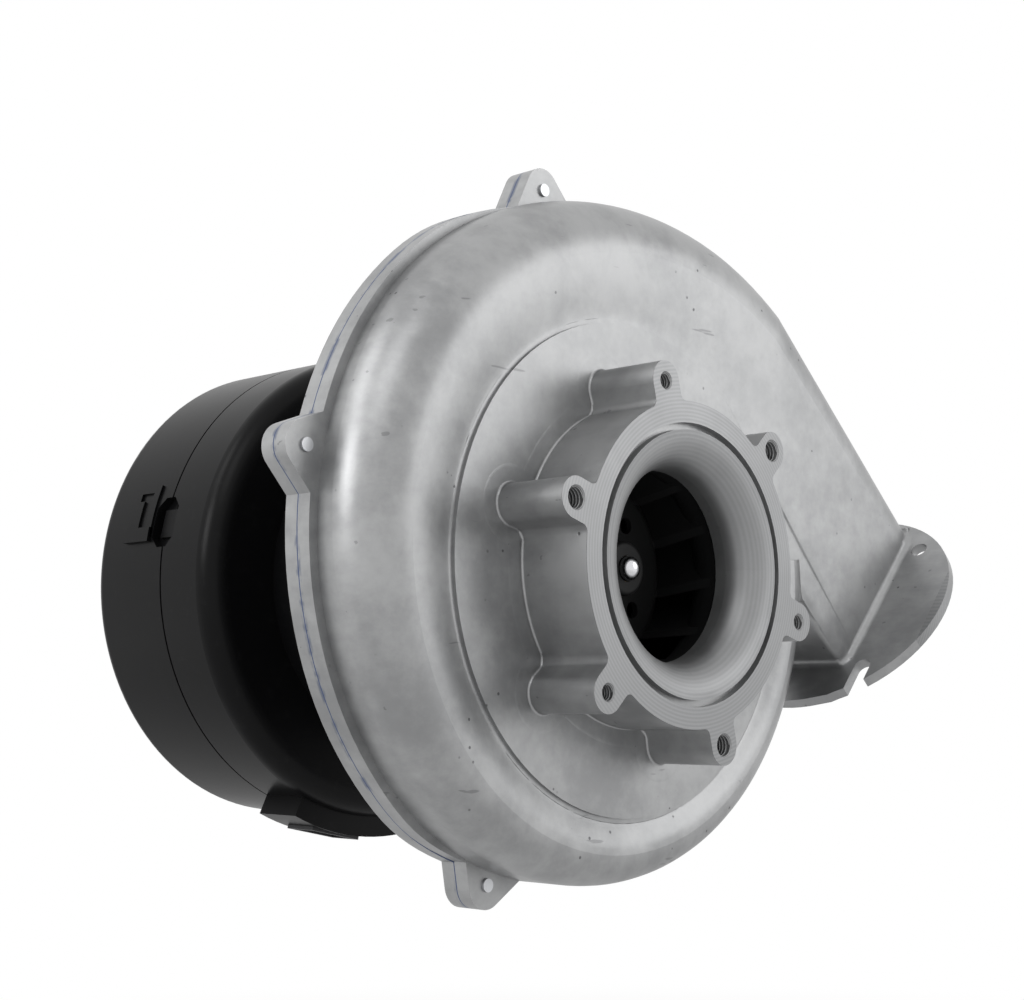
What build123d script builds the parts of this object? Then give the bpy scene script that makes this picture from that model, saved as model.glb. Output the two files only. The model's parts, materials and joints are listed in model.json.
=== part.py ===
from build123d import *
from math import asin, cos, degrees, hypot, log, pi, radians, sin
import os

os.makedirs("parts", exist_ok=True)

# The blower's own frame: the shaft lies along Y, the inlet flange face is at y = 0 and looks
# towards -Y, the motor is behind it, and Z is up. Depths are distances along +Y from that face,
# and angles are counted from +X towards +Z, as seen from the inlet side. All sizes are in mm.

# Casing: walls, seam and depths
wall = 3.0
crest_depth = 25.0
valley_depth = 30.3
seam_depth = 53.0
front_flange = 5.2
flange_inset = 0.4
rear_flange = 5.2
seam_ledge = 3.0
sealant_gap = 0.4
rear_plate = 3.5
rear_pocket = 4.6
rear_inset = 2.0
rear_gap = 0.3

# Scroll: outer wall radius at angles that run clockwise from the tongue to the outlet duct
scroll_stations = [(365.0, 98.8), (290.0, 99.0), (260.0, 101.9), (235.0, 106.3), (180.0, 113.7),
                   (140.0, 118.7), (100.0, 122.6), (85.0, 126.2), (70.0, 131.2), (58.0, 135.6)]
duct_outer = 140.0
crest_rounding = 21.0
tongue_angle = 352.0
overlap_angle = 365.0
scroll_sections = 10
ledge_from = 104.0
ledge_to = 244.0
ledge_fade = 14.0

# Outlet duct and its round flange
outflow_angle = -42.7
duct_inner = 62.0
duct_outer_at_flange = 136.4
duct_rounding_at_flange = 12.0
duct_corner = 4.0
duct_root = 2.5
duct_drop = 0.2
outlet_face = 114.0
outlet_flange = 4.0
outlet_radius = 48.4
outlet_aside = 91.8
outlet_depth = 45.0
outlet_span = (62.0, 54.0)
outlet_hole_radius = 3.3

# Inlet ring, bell mouth, plateau and lugs
lug_circle = 116.5
ring_radius = lug_circle / 2 - 6.65
groove_radius = ring_radius - 6.9
groove_depth = 2.5
lip_radius = groove_radius - 2.2
throat_radius = 30.8
throat_depth = 11.5
throat_land = 4.0
nozzle_wall = 3.0
plateau_radius = 80.0
plateau_depth = 26.3
valley_radius = plateau_radius + 1.5
lug_radius = 6.4
lug_angle = 43.6
lug_count = 6
lug_root = 2.5
neck_root = 6.0
chamber_radius = plateau_radius - wall
large_thread = 3.4
small_thread = 2.5
thread_depth = 16.0
sink_width = 0.4

# Seam screws: ears on the casing flanges, given as angle and radius of each screw
ear_screws = [(98.3, 127.5), (165.7, 122.3), (245.7, 108.7)]
ear_radius = 7.5
ear_foot = 18.0
ear_inset = 11.0
hidden_screws = [(86.0, 58.0), (14.0, 142.2), (84.0, 140.0)]
hidden_ear_radius = 5.0
hidden_hole = 4.4
screw_radius = 2.1
screw_play = 0.05
screw_tip = 0.9
screw_head_radius = 4.0
screw_head = 3.2
drive_radius = 1.9
drive_depth = 1.8

# Back of the rear casing: shaft seal, ribs and the pads of the motor mount
seal_radius = 9.0
seal_front = 60.0
seal_lip = 62.5
hub_boss = 16.0
rib_count = 8
rib_width = 3.0
rib_height = 2.5
rib_reach = 92.0
mount_circle = 132.0
mount_count = 4
mount_angle = 45.0
pad_radius = 8.0
pad_height = 3.5
pad_hole = 5.5
damper_height = 3.0
mount_flange = 4.0
mount_screw = 2.5
mount_play = 0.1
mount_tip = 4.5
mount_head_radius = 4.5
mount_head = 3.5

# Motor housing and bearings
motor_radius = 58.0
motor_wall = 3.0
motor_end = 133.0
shield_plate = 5.0
shield_spigot = 3.0
shoulder_radius = 8.0
bearing_outer = 11.0
bearing_inner = 4.0
bearing_width = 7.0
seat_wall = 3.0
front_bearing = 71.0
rear_bearing = 125.5
spring_height = 0.5
outer_land = 9.1
inner_land = 5.9
ball_radius = 2.0
ball_circle = 7.5
ball_count = 7
ball_play = 0.06
cage_wall = 0.8
cage_height = 5.8
fit = 0.02

# Stator, with the core's depths along the shaft
stack_start = 86.0
stack_length = 30.0
stator_bore = 31.5
yoke_inner = 47.0
tooth_width = 7.0
tooth_count = 12
shoe_height = 2.5
slot_opening = 3.5
insulator = 1.5
insulator_outer = 51.0
coil_build = 3.6
coil_play = 0.05
coil_inner = 35.0
coil_outer = 45.5
lead_radius = 1.0
lead_circle = 40.0
lead_pitch = 6.0
lead_end = 153.0
lead_slot = (22.0, 6.0)

# Shaft and rotor
shaft_radius = 4.0
shaft_tip = 24.0
shaft_dome = 3.0
shaft_end = 136.5
shaft_chamfer = 0.5
ring_groove = (132.6, 133.6)
ring_groove_radius = 3.5
ring_clip_radius = 6.2
spacer_radius = 5.4
rotor_core_radius = 25.0
core_hole = 4.0
core_hole_circle = 15.0
core_hole_count = 6
magnet_radius = 30.0
magnet_count = 8
magnet_gap = 1.5
sleeve_radius = 30.5

# Impeller
impeller_radius = chamber_radius - 3.0
blade_count = 11
blade_angle = -14.4
blade_spiral = 1.4
blade_thickness = 1.6
blade_root = 29.0
blade_tip = impeller_radius - 1.0
blade_front = 18.5
blade_play = 0.05
hub_radius = 9.0
hub_front = 28.0
hub_nose = 1.5
hub_play = 0.3
hub_flare = 3.0
hub_end = 56.0
hub_step = 0.5
dish_depth = 39.0
dish_radius = 29.0
dish_foot = 44.0
dish_rounding = 4.0
backplate_depth = 51.5
backplate = 2.0
eye_radius = throat_radius + 0.8
shroud_wall = 1.8
shroud_lean = 0.2
shroud_front = throat_depth + throat_land + 1.0
shroud_bend = (58.0, 20.0)
shroud_bend_height = 15.8
shroud_rim = 38.0
dish_hole_circle = 40.0
dish_hole_count = 4
dish_hole_angle = 51.0
dish_hole = 2.8
bush_radius = 7.0
bush_front = 30.0
bush_end = 57.5

# Electronics drum behind the motor
drum_radius = 84.75
drum_seam = 166.4
drum_end = 205.7
drum_wall = 2.6
drum_front_rounding = 8.0
drum_rear_rounding = 4.0
rim_radius = drum_radius - 6.75
rim_height = 8.0
seal_height = 0.8
seal_inner = rim_radius + 1.0
seal_outer = rim_radius + 3.0
latch_angles = (167.0, 47.0, 327.0)
latch_size = (12.0, 18.0)
latch_shift = 1.0
latch_chamfer = 3.5
latch_floor = drum_radius - 3.4
clip_size = (8.0, 10.0)
clip_thickness = 1.2
pad_reach = drum_radius + 7.25
pad_inner = drum_radius - 1.75
pad_from = 244.0
pad_to = 297.0
pad_front = 146.0
tray_screw_circle = 90.0
tray_screw_count = 3
tray_screw_angle = 30.0
tray_screw_radius = 2.0
tray_screw_tip = 134.0
tray_head_radius = 3.5
tray_head = 2.8
stand_off_circle = 124.0
stand_off_radius = 4.0
stand_off_count = 4
stand_off_angle = 45.0
board_front = 150.0
board_thickness = 1.6
board_radius = rim_radius - 1.0
board_screw = 1.5
board_screw_tip = 145.0
board_head_radius = 3.0
board_head = 2.0

# Parts on the board and the sockets in the pad
capacitor_radius = 10.0
capacitor_height = 32.0
capacitor_places = [(-18.0, -28.0), (18.0, -28.0)]
choke_place = (-42.0, 0.0)
choke_radii = (8.0, 14.0)
choke_height = 10.0
wire_build = 1.4
module_place = (31.0, 24.0)
module_size = (36.0, 22.0, 7.0)
sink_size = (40.0, 26.0, 14.0)
sink_base = 3.0
fin_count = 7
fin_width = 1.6
chip_place = (-30.0, 40.0)
chip_size = (13.0, 13.0, 1.4)
socket_middle = drum_seam - 10.4
socket_inner = drum_radius - 5.75
socket_floor = drum_radius - 2.75
socket_outer = pad_reach + 0.6
socket_wall = 1.4
socket_play = 0.05
pin_size = 1.0
pin_inner = socket_inner - 5.5
pin_outer = pad_reach - 3.0
power_socket_angle = 258.0
power_socket_size = (14.0, 22.0)
power_pins = (-6.0, 0.0, 6.0)
signal_socket_angle = 283.0
signal_socket_size = (11.0, 16.0)
signal_pins = (-4.5, -1.5, 1.5, 4.5)


def across(depth):
    return Plane.XZ.offset(-depth)


def radial_plane(angle):
    turn = radians(angle)
    return Plane(origin=(0, 0, 0), x_dir=(cos(turn), 0, sin(turn)), z_dir=(-sin(turn), 0, cos(turn)))


def polar(radius, angle):
    return (radius * cos(radians(angle)), radius * sin(radians(angle)))


def spread(first, last, steps):
    return [first + (last - first) * i / steps for i in range(steps + 1)]


end_angle = outflow_angle + 90.0
disc_back = outlet_face - outlet_flange
rear_floor = seam_depth + sealant_gap + rear_pocket
rear_step = seam_depth + sealant_gap + rear_flange
rear_back = rear_floor + rear_plate
pads_back = rear_back + pad_height
motor_front = pads_back + damper_height
flange_back = motor_front + mount_flange
drum_front = motor_end + shield_plate
tray_end = drum_seam - seal_height / 2
cover_start = drum_seam + seal_height / 2
board_back = board_front + board_thickness
stack_end = stack_start + stack_length
stations = scroll_stations + [(end_angle, duct_outer)]


def outlet_plane(along):
    return radial_plane(end_angle).offset(-along)


def outlet_point(along, aside):
    flow = radians(outflow_angle)
    return (along * cos(flow) - aside * sin(flow), along * sin(flow) + aside * cos(flow))


def smooth(share):
    share = min(1.0, max(0.0, share))
    return share * share * (3.0 - 2.0 * share)


def wall_radius(angle):
    # A cubic runs through the stations, with slopes taken from the neighbours on each side.
    last = len(stations) - 1
    at = next((i for i in range(last) if stations[i + 1][0] <= angle), last - 1)
    (a0, r0), (a1, r1) = stations[at], stations[at + 1]
    before = stations[max(at - 1, 0)]
    after = stations[min(at + 2, last)]
    slope0 = (r1 - before[1]) / (a1 - before[0])
    slope1 = (after[1] - r0) / (after[0] - a0)
    t = (angle - a0) / (a1 - a0)
    step = a1 - a0
    return (r0 * (1 + 2 * t) * (1 - t) ** 2 + slope0 * step * t * (1 - t) ** 2
            + r1 * t * t * (3 - 2 * t) + slope1 * step * t * t * (t - 1))


def rounding(angle):
    return min(crest_rounding, (wall_radius(angle) - valley_radius) / 2.0)


def ledge(angle):
    return seam_ledge * smooth((angle - ledge_from) / ledge_fade) * smooth((ledge_to - angle) / ledge_fade)


def duct_outer_at(along):
    return duct_outer + (duct_outer_at_flange - duct_outer) * along / outlet_face


def at_flange_root(edge):
    # True for the edges in which the duct's outside meets the outlet flange, in front of the seam
    flow = radians(outflow_angle)
    middle = edge @ 0.5
    away = [point.X * cos(flow) + point.Z * sin(flow) - disc_back for point in (edge @ 0, middle, edge @ 1)]
    aside = middle.Z * cos(flow) - middle.X * sin(flow)
    inside = hypot(aside - outlet_aside, middle.Y - outlet_depth) < outlet_radius - duct_root
    return max(map(abs, away)) < 0.01 and inside and middle.Y < seam_depth - 0.01


inner_reach = chamber_radius - wall


def scroll_profile(angle, inset, foot):
    outer = wall_radius(angle) - inset
    valley = valley_radius + inset
    crest = crest_depth + inset
    floor = valley_depth + inset
    curve = rounding(angle) - inset
    with BuildSketch(radial_plane(angle)) as profile:
        with BuildLine():
            Line((inner_reach, foot), (outer, foot))
            Line((outer, foot), (outer, crest + curve))
            CenterArc((outer - curve, crest + curve), curve, -90, 90)
            EllipticalCenterArc((outer - curve, floor), outer - curve - valley, floor - crest, 180, arc_size=90)
            Line((valley, floor), (inner_reach, floor))
            Line((inner_reach, floor), (inner_reach, foot))
        make_face()
    return profile.sketch


def duct_profile(along, inset, foot):
    share = along / outlet_face
    outer = duct_outer_at(along) - inset
    curve = crest_rounding + (duct_rounding_at_flange - crest_rounding) * share - inset
    inner = duct_inner + inset
    crest = crest_depth + inset
    corner = duct_corner - inset
    # The scroll's valley runs out along the duct
    floor = crest + duct_drop + (valley_depth - crest_depth - duct_drop) * max(0.0, 1.0 - share)
    valley = valley_radius + inset + (duct_inner + 2 * duct_corner - valley_radius) * share
    with BuildSketch(outlet_plane(along)) as profile:
        with BuildLine():
            Line((inner, foot), (outer, foot))
            Line((outer, foot), (outer, crest + curve))
            CenterArc((outer - curve, crest + curve), curve, -90, 90)
            EllipticalCenterArc((outer - curve, floor), outer - curve - valley, floor - crest, 180, arc_size=90)
            Line((valley, floor), (inner + corner, floor))
            CenterArc((inner + corner, floor + corner), corner, 180, 90)
            Line((inner, floor + corner), (inner, foot))
        make_face()
    return profile.sketch


def casing_outline(depth, inset, start, reach, core, ledge_share=0.0):
    turns = spread(start, end_angle, 30)
    wet = [polar(wall_radius(a) - inset + ledge_share * ledge(a), a) for a in turns]
    corners = [outlet_point(0, duct_inner + inset), outlet_point(0, duct_outer - inset),
               outlet_point(reach, duct_outer_at(reach) - inset), outlet_point(reach, duct_inner + inset)]
    with BuildSketch(across(depth)) as outline:
        with BuildLine():
            Spline(*wet)
            Line(wet[-1], (0, 0))
            Line((0, 0), wet[0])
        make_face()
        with BuildLine():
            Polyline(*corners, close=True)
        make_face()
        Circle(core)
    return outline.sketch


def facing(angle, radius, depth):
    turn = radians(angle)
    x, z = polar(radius, angle)
    return Plane(origin=(x, depth, z), x_dir=(0, 1, 0), z_dir=(cos(turn), 0, sin(turn)))


def seam_ears(depth):
    with BuildSketch(across(depth)) as ears:
        for angle, radius in ear_screws:
            foot = degrees(asin(ear_foot / radius))
            with BuildSketch(across(depth), mode=Mode.PRIVATE) as ear:
                with Locations(polar(radius, angle)):
                    Circle(ear_radius)
                with Locations(polar(radius - ear_inset, angle - foot), polar(radius - ear_inset, angle + foot)):
                    Circle(1.0)
                make_hull()
            add(ear.sketch_local)
        for along, aside in hidden_screws:
            with Locations(outlet_point(along, aside)):
                Circle(hidden_ear_radius)
    return ears.sketch


seam_places = [polar(r, a) for a, r in ear_screws] + [outlet_point(s, w) for s, w in hidden_screws]


def seam_holes(depth):
    with BuildSketch(across(depth)) as holes:
        with Locations(*seam_places):
            Circle(screw_radius + screw_play)
    return holes.sketch


def blade_outline(depth):
    reach = spread(blade_root, blade_tip, 12)
    turns = [blade_angle + degrees(blade_spiral * log(r / blade_root)) for r in reach]
    middle = [polar(r, a) for r, a in zip(reach, turns)]
    sides = {-1: [], 1: []}
    for i, (x, y) in enumerate(middle):
        (x0, y0), (x1, y1) = middle[max(i - 1, 0)], middle[min(i + 1, len(middle) - 1)]
        span = hypot(x1 - x0, y1 - y0)
        for side in sides:
            away = side * blade_thickness / 2 / span
            sides[side].append((x - away * (y1 - y0), y + away * (x1 - x0)))
    with BuildSketch(across(depth)) as outline:
        with BuildLine():
            ThreePointArc(sides[1][0], sides[1][6], sides[1][-1])
            Line(sides[1][-1], sides[-1][-1])
            ThreePointArc(sides[-1][0], sides[-1][6], sides[-1][-1])
            Line(sides[-1][0], sides[1][0])
        make_face()
    return outline.sketch


print("casing")

# Neck with its lugs and the plateau that it stands on, before the bore is cut
with BuildPart() as inlet_neck:
    with BuildSketch(across(seam_depth)):
        Circle(plateau_radius)
    extrude(amount=seam_depth - plateau_depth)
    with BuildSketch(across(plateau_depth)):
        Circle(ring_radius)
        with PolarLocations(lug_circle / 2, lug_count, start_angle=lug_angle):
            Circle(lug_radius)
            with Locations((-lug_radius, 0)):
                Rectangle(2 * lug_radius, 2 * lug_radius)
        corners = vertices().filter_by(lambda v: abs(hypot(v.X, v.Y) - ring_radius) < 0.01)
        fillet(corners, lug_root)
    extrude(amount=plateau_depth)
    roots = edges().filter_by_position(Axis.Y, plateau_depth - 0.01, plateau_depth + 0.01)
    fillet(roots.filter_by(lambda e: e.length < pi * plateau_radius), neck_root)

# Outlet duct with its round flange, as solid metal
with BuildPart() as outlet_duct:
    loft([duct_profile(s, 0.0, seam_depth) for s in (0.0, disc_back)])
    with BuildSketch(outlet_plane(outlet_face)):
        with Locations((outlet_aside, outlet_depth)):
            Circle(outlet_radius)
    extrude(amount=outlet_flange)
    fillet(edges().filter_by(at_flange_root), duct_root)
    with BuildSketch(outlet_plane(outlet_face)):
        with Locations((outlet_aside, outlet_depth)):
            with Locations((outlet_span[0] / 2, outlet_span[1] / 2), (outlet_span[0] / 2, -outlet_span[1] / 2)):
                Circle(outlet_hole_radius)
            for side in (-1, 1):
                with Locations((-outlet_span[0] / 2, side * outlet_span[1] / 2)):
                    Circle(outlet_hole_radius)
                    with Locations((-outlet_radius / 2, 0)):
                        Rectangle(outlet_radius, 2 * outlet_hole_radius)
    extrude(amount=outlet_flange, mode=Mode.SUBTRACT)

with BuildPart() as front_casing:
    loft([scroll_profile(a, 0.0, seam_depth) for a in spread(overlap_angle, end_angle, scroll_sections)])
    add(outlet_duct.part)
    flange = casing_outline(seam_depth, flange_inset, overlap_angle, disc_back, plateau_radius - flange_inset,
                            1.0 + flange_inset / seam_ledge)
    extrude(flange, amount=front_flange)
    extrude(seam_ears(seam_depth), amount=front_flange)
    with BuildSketch(across(plateau_depth)):
        Circle(plateau_radius)
    extrude(amount=plateau_depth, mode=Mode.SUBTRACT)
    add(inlet_neck.part)
    # Wet space: scroll, duct, impeller chamber and bell mouth
    loft([scroll_profile(a, wall, seam_depth + 1.0) for a in spread(tongue_angle, end_angle, scroll_sections)],
         mode=Mode.SUBTRACT)
    loft([duct_profile(s, wall, rear_floor) for s in (0.0, outlet_face + 1.0)], mode=Mode.SUBTRACT)
    with BuildSketch(Plane.XY):
        back = throat_radius + nozzle_wall
        throat_end = throat_depth + throat_land
        cavity = ring_radius - wall
        with BuildLine():
            Line((0, 0), (lip_radius, 0))
            EllipticalCenterArc((lip_radius, throat_depth), lip_radius - throat_radius, throat_depth, 180, arc_size=90)
            Polyline((throat_radius, throat_depth), (throat_radius, throat_end), (back, throat_end))
            EllipticalCenterArc((groove_radius, throat_end), groove_radius - back, throat_end - groove_depth - wall,
                                180, arc_size=90)
            Polyline((groove_radius, groove_depth + wall), (cavity, groove_depth + wall), (cavity, plateau_depth + wall),
                     (chamber_radius, plateau_depth + wall), (chamber_radius, seam_depth + 1), (0, seam_depth + 1),
                     (0, 0))
        make_face()
    revolve(axis=Axis.Y, mode=Mode.SUBTRACT)
    with BuildSketch(across(groove_depth)):
        Circle(groove_radius)
        Circle(lip_radius, mode=Mode.SUBTRACT)
    extrude(amount=groove_depth, mode=Mode.SUBTRACT)
    # Threaded holes of the lugs, each with a small sink at its mouth
    for first, hole in ((lug_angle, large_thread), (lug_angle + 60.0, small_thread)):
        with Locations(across(0)):
            with PolarLocations(lug_circle / 2, lug_count // 2, start_angle=first):
                CounterSinkHole(hole, hole + sink_width, thread_depth, 90)
    # Screw holes of the seam: through the ears, blind beside the duct
    extrude(seam_holes(seam_depth), amount=hidden_hole, mode=Mode.SUBTRACT)
    with BuildSketch(across(seam_depth)):
        with Locations(*seam_places[:len(ear_screws)]):
            Circle(screw_radius + screw_play)
    extrude(amount=front_flange, mode=Mode.SUBTRACT)
front_casing.part.label = "front_casing"
export_step(front_casing.part, "parts/front_casing.step")

with BuildPart() as casing_sealant:
    seat = seam_depth + sealant_gap
    reach = disc_back - rear_gap
    extrude(casing_outline(seat, 0.0, overlap_angle, reach, plateau_radius, 1.0), amount=sealant_gap)
    extrude(seam_ears(seat), amount=sealant_gap)
    extrude(casing_outline(seat, wall, tongue_angle, reach + wall, chamber_radius), amount=sealant_gap,
            mode=Mode.SUBTRACT)
    extrude(seam_holes(seat), amount=sealant_gap, mode=Mode.SUBTRACT)
casing_sealant.part.label = "casing_sealant"
export_step(casing_sealant.part, "parts/casing_sealant.step")

with BuildPart() as rear_casing:
    extrude(casing_outline(rear_step, 0.0, overlap_angle, reach, plateau_radius, 1.0), amount=rear_flange)
    extrude(seam_ears(rear_step), amount=rear_flange)
    extrude(casing_outline(rear_back, rear_inset, overlap_angle, reach, plateau_radius),
            amount=rear_back - rear_step)
    with BuildSketch(across(pads_back)):
        Circle(hub_boss)
        with PolarLocations(mount_circle / 2, mount_count, start_angle=mount_angle):
            Circle(pad_radius)
    extrude(amount=pad_height)
    with BuildSketch(across(rear_back + rib_height)):
        with PolarLocations((hub_boss + rib_reach) / 2, rib_count, start_angle=mount_angle):
            Rectangle(rib_reach - hub_boss + 2.0, rib_width)
    extrude(amount=rib_height)
    extrude(casing_outline(rear_floor, wall, tongue_angle, reach + wall, chamber_radius), amount=rear_pocket,
            mode=Mode.SUBTRACT)
    with BuildSketch(across(pads_back)):
        with PolarLocations(mount_circle / 2, mount_count, start_angle=mount_angle):
            Circle(mount_screw + screw_play)
    extrude(amount=pad_hole, mode=Mode.SUBTRACT)
    extrude(seam_holes(rear_step), amount=rear_flange, mode=Mode.SUBTRACT)
    with BuildSketch(across(pads_back)):
        Circle(seal_radius)
    extrude(amount=pads_back - seam_depth, mode=Mode.SUBTRACT)
rear_casing.part.label = "rear_casing"
export_step(rear_casing.part, "parts/rear_casing.step")

with BuildPart() as casing_screws:
    with BuildSketch(across(rear_step + screw_head)):
        with Locations(*seam_places):
            Circle(screw_head_radius)
    extrude(amount=screw_head)
    with BuildSketch(across(rear_step)):
        with Locations(*seam_places[:len(ear_screws)]):
            Circle(screw_radius)
    extrude(amount=rear_step - seam_depth + front_flange + screw_tip)
    with BuildSketch(across(rear_step)):
        with Locations(*seam_places[len(ear_screws):]):
            Circle(screw_radius)
    extrude(amount=rear_step - seam_depth + hidden_hole - sealant_gap)
    with BuildSketch(across(rear_step + screw_head)):
        with Locations(*seam_places):
            RegularPolygon(drive_radius, 6)
    extrude(amount=drive_depth, mode=Mode.SUBTRACT)
casing_screws.part.label = "casing_screws"
export_step(casing_screws.part, "parts/casing_screws.step")

print("motor mount")

with BuildPart() as shaft_seal:
    with BuildSketch(Plane.XY):
        ring = seal_radius - fit
        lip = shaft_radius + screw_play
        with BuildLine():
            Polyline((ring, seal_front), (ring, pads_back), (ring - 2.5, pads_back), (ring - 2.5, seal_lip + 1.0),
                     (lip + 0.8, seal_lip + 0.8), (lip, seal_lip + 0.4), (lip, seal_lip - 0.4),
                     (ring - 2.5, seal_lip - 1.0), (ring - 2.5, seal_front), close=True)
        make_face()
    revolve(axis=Axis.Y)
shaft_seal.part.label = "shaft_seal"
export_step(shaft_seal.part, "parts/shaft_seal.step")

with BuildPart() as mount_dampers:
    with BuildSketch(across(motor_front)):
        with PolarLocations(mount_circle / 2, mount_count, start_angle=mount_angle):
            Circle(pad_radius)
            Circle(mount_screw + mount_play, mode=Mode.SUBTRACT)
    extrude(amount=damper_height)
mount_dampers.part.label = "mount_dampers"
export_step(mount_dampers.part, "parts/mount_dampers.step")

with BuildPart() as mount_screws:
    with BuildSketch(across(flange_back + mount_head)):
        with PolarLocations(mount_circle / 2, mount_count, start_angle=mount_angle):
            Circle(mount_head_radius)
            RegularPolygon(drive_radius, 6, mode=Mode.SUBTRACT)
    extrude(amount=mount_head)
    with BuildSketch(across(flange_back + 1.0)):
        with PolarLocations(mount_circle / 2, mount_count, start_angle=mount_angle):
            Circle(mount_screw)
    extrude(amount=flange_back + 1.0 - pads_back + mount_tip)
mount_screws.part.label = "mount_screws"
export_step(mount_screws.part, "parts/mount_screws.step")

with BuildPart() as motor_housing:
    with BuildSketch(Plane.XY):
        inside = motor_radius - motor_wall
        seat = bearing_outer + fit
        seat_end = front_bearing + bearing_width
        with BuildLine():
            Polyline((shoulder_radius, motor_front), (motor_radius, motor_front), (motor_radius, motor_end),
                     (inside, motor_end), (inside, flange_back), (seat + seat_wall, flange_back),
                     (seat + seat_wall, seat_end), (seat, seat_end), (seat, front_bearing),
                     (shoulder_radius, front_bearing), close=True)
        make_face()
    revolve(axis=Axis.Y)
    with BuildSketch(across(flange_back)):
        with PolarLocations(mount_circle / 2, mount_count, start_angle=mount_angle):
            Circle(pad_radius)
            with Locations((-pad_radius, 0)):
                Rectangle(2 * pad_radius, 2 * pad_radius)
            Circle(mount_screw + mount_play, mode=Mode.SUBTRACT)
    extrude(amount=mount_flange)
motor_housing.part.label = "motor_housing"
export_step(motor_housing.part, "parts/motor_housing.step")

with BuildPart() as end_shield:
    with BuildSketch(Plane.XY):
        spigot = motor_radius - motor_wall - fit
        seat = bearing_outer + fit
        with BuildLine():
            Polyline((shoulder_radius, motor_end), (seat, motor_end), (seat, rear_bearing),
                     (seat + seat_wall, rear_bearing), (seat + seat_wall, motor_end), (spigot - motor_wall, motor_end),
                     (spigot - motor_wall, motor_end - shield_spigot), (spigot, motor_end - shield_spigot),
                     (spigot, motor_end), (motor_radius, motor_end), (motor_radius, drum_front),
                     (shoulder_radius, drum_front), close=True)
        make_face()
    revolve(axis=Axis.Y)
    with BuildSketch(across(drum_front)):
        with Locations((0, lead_circle)):
            SlotOverall(*lead_slot)
    extrude(amount=shield_plate, mode=Mode.SUBTRACT)
    with BuildSketch(across(drum_front)):
        with PolarLocations(tray_screw_circle / 2, tray_screw_count, start_angle=tray_screw_angle):
            Circle(tray_screw_radius + fit)
    extrude(amount=drum_front - tray_screw_tip + sealant_gap, mode=Mode.SUBTRACT)
end_shield.part.label = "end_shield"
export_step(end_shield.part, "parts/end_shield.step")

with BuildPart() as bearing_spring:
    with BuildSketch(across(motor_end)):
        Circle(bearing_outer - 0.2)
        Circle(shoulder_radius + 0.6, mode=Mode.SUBTRACT)
    extrude(amount=spring_height)
bearing_spring.part.label = "bearing_spring"
export_step(bearing_spring.part, "parts/bearing_spring.step")

print("bearings")

for name, start in (("front", front_bearing), ("rear", rear_bearing)):
    middle = start + bearing_width / 2
    with BuildPart() as outer_ring:
        with BuildSketch(Plane.XY):
            with Locations(((bearing_outer + outer_land) / 2, middle)):
                Rectangle(bearing_outer - outer_land, bearing_width)
            with Locations((ball_circle, middle)):
                Circle(ball_radius + ball_play, mode=Mode.SUBTRACT)
        revolve(axis=Axis.Y)
    outer_ring.part.label = name + "_bearing_outer"
    export_step(outer_ring.part, "parts/" + name + "_bearing_outer.step")

    with BuildPart() as inner_ring:
        with BuildSketch(Plane.XY):
            with Locations(((bearing_inner + fit + inner_land) / 2, middle)):
                Rectangle(inner_land - bearing_inner - fit, bearing_width)
            with Locations((ball_circle, middle)):
                Circle(ball_radius + ball_play, mode=Mode.SUBTRACT)
        revolve(axis=Axis.Y)
    inner_ring.part.label = name + "_bearing_inner"
    export_step(inner_ring.part, "parts/" + name + "_bearing_inner.step")

    with BuildPart() as balls:
        with Locations(across(middle)):
            with PolarLocations(ball_circle, ball_count):
                Sphere(ball_radius)
    balls.part.label = name + "_balls"
    export_step(balls.part, "parts/" + name + "_balls.step")

    with BuildPart() as cage:
        with BuildSketch(across(middle + cage_height / 2)):
            Circle(ball_circle + cage_wall / 2)
            Circle(ball_circle - cage_wall / 2, mode=Mode.SUBTRACT)
        extrude(amount=cage_height)
        with BuildSketch(*[facing(360 * turn / ball_count, 0, middle) for turn in range(ball_count)]):
            Circle(ball_radius + ball_play)
        extrude(amount=ball_circle + ball_radius, mode=Mode.SUBTRACT)
    cage.part.label = name + "_cage"
    export_step(cage.part, "parts/" + name + "_cage.step")

print("stator")

with BuildPart() as stator_core:
    with BuildSketch(across(stack_end)):
        Circle(motor_radius - motor_wall - fit)
        Circle(yoke_inner, mode=Mode.SUBTRACT)
        with BuildSketch(mode=Mode.PRIVATE) as shoes:
            Circle(stator_bore + shoe_height)
            with PolarLocations(stator_bore, tooth_count, start_angle=180 / tooth_count):
                Rectangle(4 * shoe_height, slot_opening, mode=Mode.SUBTRACT)
        add(shoes.sketch)
        with PolarLocations((stator_bore + yoke_inner + 1) / 2, tooth_count):
            Rectangle(yoke_inner + 1 - stator_bore, tooth_width)
        Circle(stator_bore, mode=Mode.SUBTRACT)
    extrude(amount=stack_length)
stator_core.part.label = "stator_core"
export_step(stator_core.part, "parts/stator_core.step")

with BuildPart() as stator_insulators:
    with BuildSketch(across(stack_start), across(stack_end + insulator)):
        Circle(insulator_outer)
        Circle(yoke_inner, mode=Mode.SUBTRACT)
        with PolarLocations((stator_bore + shoe_height + yoke_inner + 1) / 2, tooth_count):
            Rectangle(yoke_inner + 1 - stator_bore - shoe_height, tooth_width)
    extrude(amount=insulator)
stator_insulators.part.label = "stator_insulators"
export_step(stator_insulators.part, "parts/stator_insulators.step")

with BuildPart() as coil:
    with BuildSketch(facing(0, coil_inner, (stack_start + stack_end) / 2)):
        opening = (stack_length + 2 * insulator + 2 * coil_play, tooth_width + 2 * coil_play)
        RectangleRounded(opening[0] + 2 * coil_build, opening[1] + 2 * coil_build, coil_build)
        Rectangle(*opening, mode=Mode.SUBTRACT)
    extrude(amount=coil_outer - coil_inner)

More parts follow.
